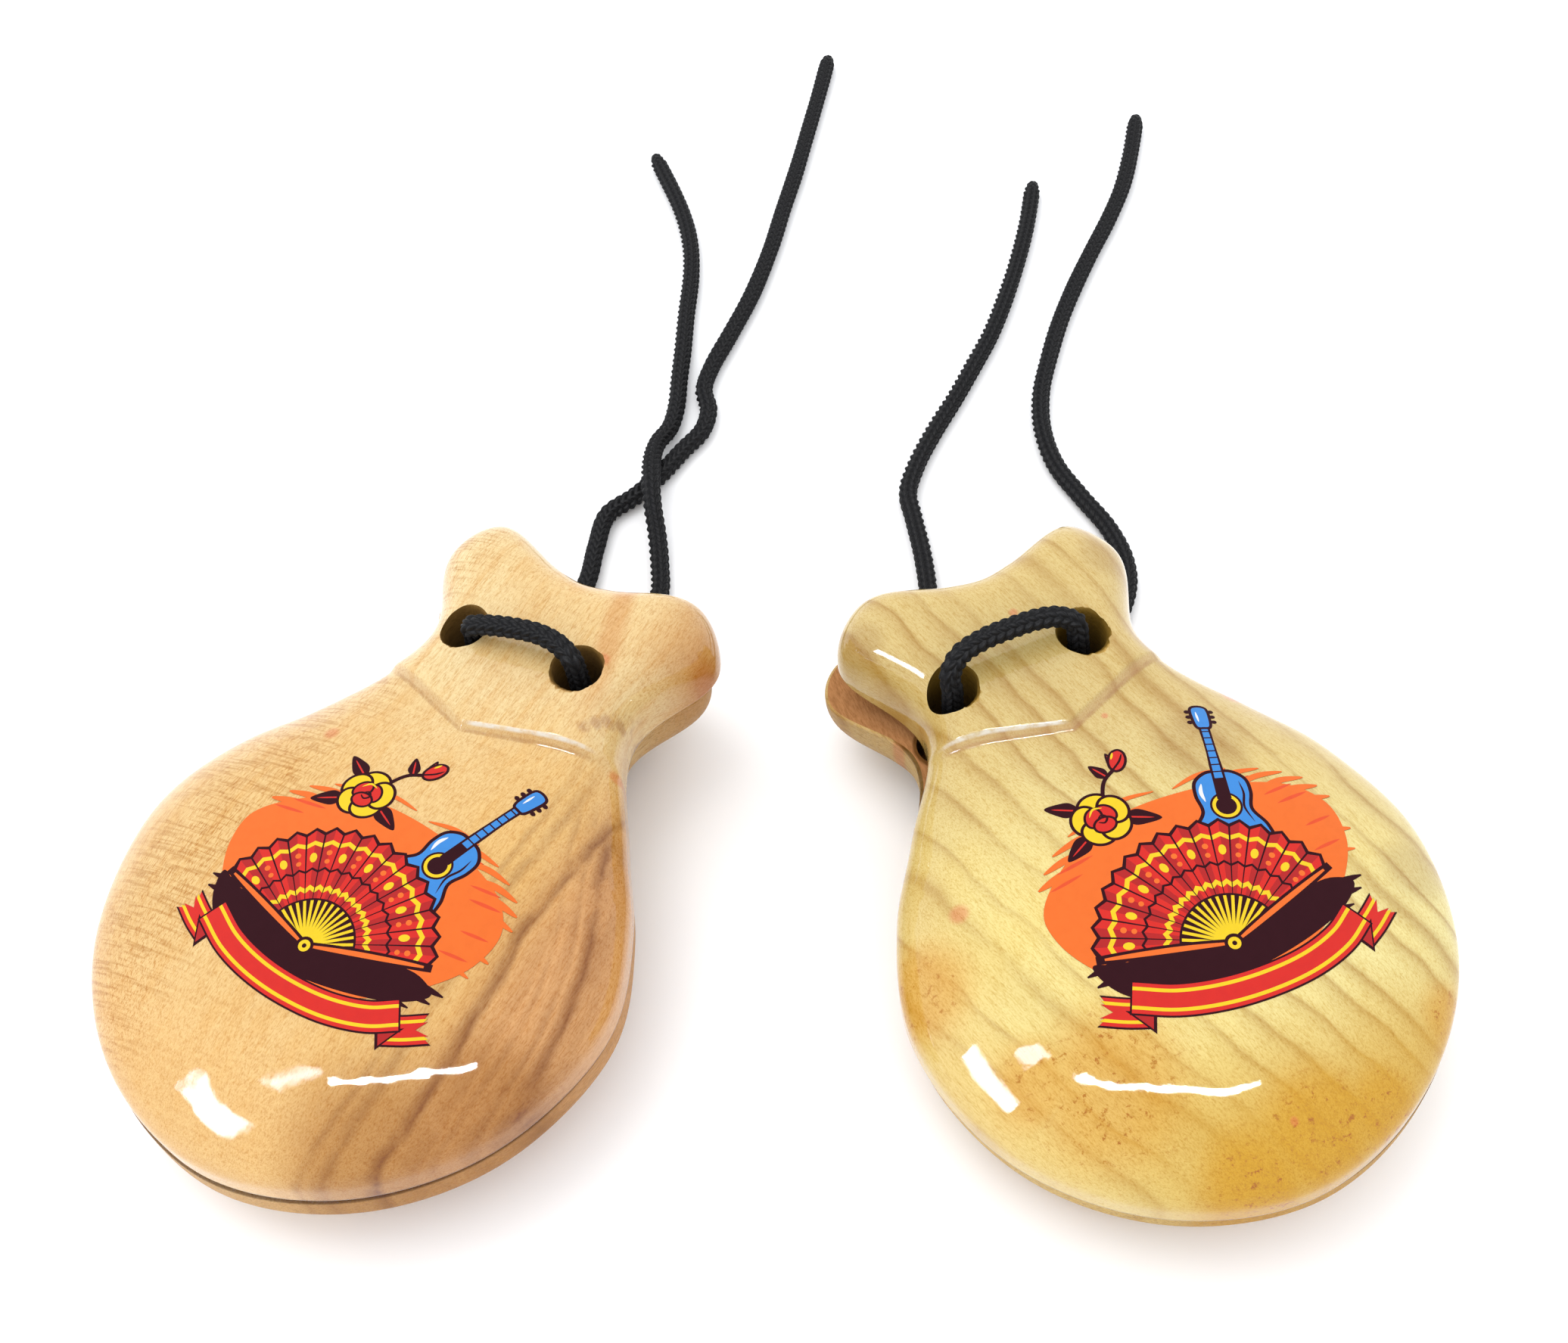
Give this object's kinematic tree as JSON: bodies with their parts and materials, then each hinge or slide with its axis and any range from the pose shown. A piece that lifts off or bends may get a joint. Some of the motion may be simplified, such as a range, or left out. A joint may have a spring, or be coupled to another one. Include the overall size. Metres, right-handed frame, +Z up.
{
  "type": "castanets",
  "caption": "Lacquered wooden castanets: hollowed shells that rock open on a braided cord through the neck, printed bowls, loose cord ends on the table.",
  "frame": {"origin": "on the table, under the middle of the shells' and loops' box", "axes": "+X from the left castanet to the right one, +Y away from the player's side towards the cord ends, +Z up"},
  "size_m": [0.1526, 0.2161, 0.0303],
  "materials": {
    "left_top_wood": "gloss clear lacquer over light brown wood",
    "left_bottom_wood": "satin, light brown wood",
    "right_top_wood": "gloss clear lacquer over pale yellow wood",
    "right_bottom_wood": "satin, brown wood",
    "cord_black": "matt braided nylon",
    "print": "printed film under gloss lacquer"
  },
  "bodies": {
    "left_bottom": {"left_bottom_shell": "left_bottom_wood", "left_cord_tail_left": "cord_black", "left_cord_tail_right": "cord_black"},
    "left_top": {"left_top_shell": "left_top_wood", "left_cord_loop": "cord_black", "left_print": "print"},
    "right_bottom": {"right_bottom_shell": "right_bottom_wood", "right_cord_tail_left": "cord_black", "right_cord_tail_right": "cord_black"},
    "right_top": {"right_top_shell": "right_top_wood", "right_cord_loop": "cord_black", "right_print": "print"}
  },
  "joints": [
    {"name": "left_opens", "type": "hinge", "parent": "left_bottom", "child": "left_top", "pos_m": [-0.02692, 0.02286, 0.01401], "axis": [-0.864, 0.5023, -0.0349], "range_deg": [0, 16]},
    {"name": "right_slides_apart", "type": "slide", "parent": "left_bottom", "child": "right_bottom", "axis": [1, 0, 0], "range_m": [0, 0.05]},
    {"name": "right_opens", "type": "hinge", "parent": "right_bottom", "child": "right_top", "pos_m": [0.03307, 0.01936, 0.01432], "axis": [-0.9432, -0.323, -0.0784], "range_deg": [0, 16]}
  ]
}
